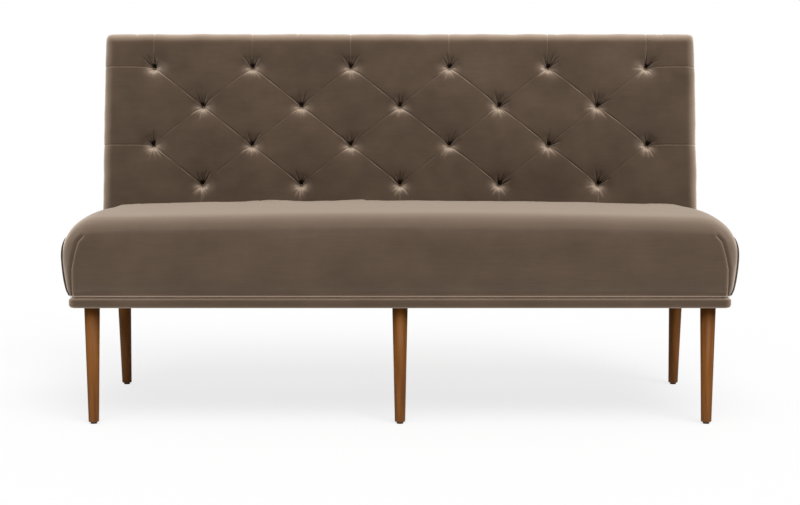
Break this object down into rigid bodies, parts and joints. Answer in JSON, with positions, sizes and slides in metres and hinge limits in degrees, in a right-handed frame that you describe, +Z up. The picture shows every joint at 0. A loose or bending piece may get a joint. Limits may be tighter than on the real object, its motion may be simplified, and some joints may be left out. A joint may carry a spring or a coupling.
{
  "type": "upholstered bench",
  "caption": "Long upholstered dining bench with a high blind-tufted back, a tight sprung seat with plump ends, a padded base band and slim round tapered wooden legs.",
  "frame": {"origin": "on the floor, under the middle of the whole bench", "axes": "+X along the bench, to the right when seen from the front; +Y from the front to the back; +Z up"},
  "size_m": [1.571, 0.639, 0.8935],
  "materials": {
    "velvet": "matte",
    "leg_wood": "satin",
    "glide_plastic": "matte",
    "plain_steel": "satin",
    "frame_wood": "matte",
    "foam": "matte",
    "wadding": "matte",
    "black_cloth": "matte",
    "twine": "matte",
    "toggle_wood": "matte",
    "card": "matte"
  },
  "bodies": {
    "root": {"seat_cover": "velvet", "seat_end_panel_left": "velvet", "seat_end_panel_right": "velvet", "back_cover": "velvet", "outside_back_cover": "velvet", "base_band_cover": "velvet", "leg_front_left": "leg_wood", "leg_front_centre": "leg_wood", "leg_front_right": "leg_wood", "leg_rear_left": "leg_wood", "leg_rear_centre": "leg_wood", "leg_rear_right": "leg_wood", "glide_front_left": "glide_plastic", "glide_front_centre": "glide_plastic", "glide_front_right": "glide_plastic", "glide_rear_left": "glide_plastic", "glide_rear_centre": "glide_plastic", "glide_rear_right": "glide_plastic", "leg_hanger_bolts": "plain_steel", "leg_threaded_inserts": "plain_steel", "seat_box_screws": "plain_steel", "back_bolts": "plain_steel", "back_bolt_nuts": "plain_steel", "sinuous_springs": "plain_steel", "spring_clips": "plain_steel", "base_rail_front": "frame_wood", "base_rail_rear": "frame_wood", "base_rail_left": "frame_wood", "base_rail_right": "frame_wood", "base_rail_centre": "frame_wood", "seat_rail_front": "frame_wood", "seat_rail_rear": "frame_wood", "seat_rail_left": "frame_wood", "seat_rail_right": "frame_wood", "seat_stretcher_left": "frame_wood", "seat_stretcher_right": "frame_wood", "seat_corner_blocks": "frame_wood", "back_stile_left": "frame_wood", "back_stile_right": "frame_wood", "back_post_left": "frame_wood", "back_post_right": "frame_wood", "back_top_rail": "frame_wood", "back_bottom_rail": "frame_wood", "tufting_panel": "frame_wood", "seat_foam": "foam", "back_foam": "foam", "base_band_padding": "foam", "seat_wadding": "wadding", "back_wadding": "wadding", "seat_insulator_pad": "wadding", "dust_cover": "black_cloth", "tuft_twines": "twine", "tuft_toggles": "toggle_wood", "outside_back_lining": "card"}
  },
  "joints": []
}
